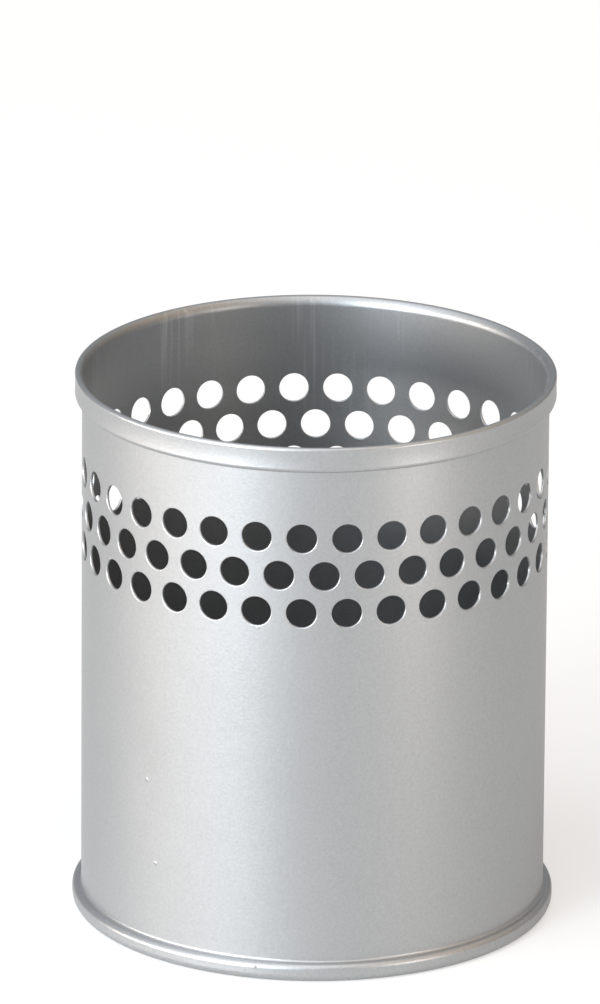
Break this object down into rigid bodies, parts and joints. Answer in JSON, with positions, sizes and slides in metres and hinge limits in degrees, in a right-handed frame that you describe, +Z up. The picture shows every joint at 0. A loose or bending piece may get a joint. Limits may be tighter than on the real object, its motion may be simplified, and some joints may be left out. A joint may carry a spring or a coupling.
{
  "type": "pen stand",
  "caption": "Round open-topped pen cup in silver-painted sheet steel, with a turned-out rim, a band of staggered punched holes below it and a beaded foot that holds a flat base.",
  "frame": {"origin": "centre of the foot, on the surface that the cup stands on", "axes": "+Z up along the cup's axis, -Y towards the side that the picture shows, +X to the right of it"},
  "size_m": [0.0863, 0.0862, 0.1],
  "materials": {
    "silver_paint": "satin metallic silver paint with a fine flake"
  },
  "bodies": {
    "root": {"perforated_sleeve": "silver_paint", "base_pan": "silver_paint"}
  },
  "joints": []
}
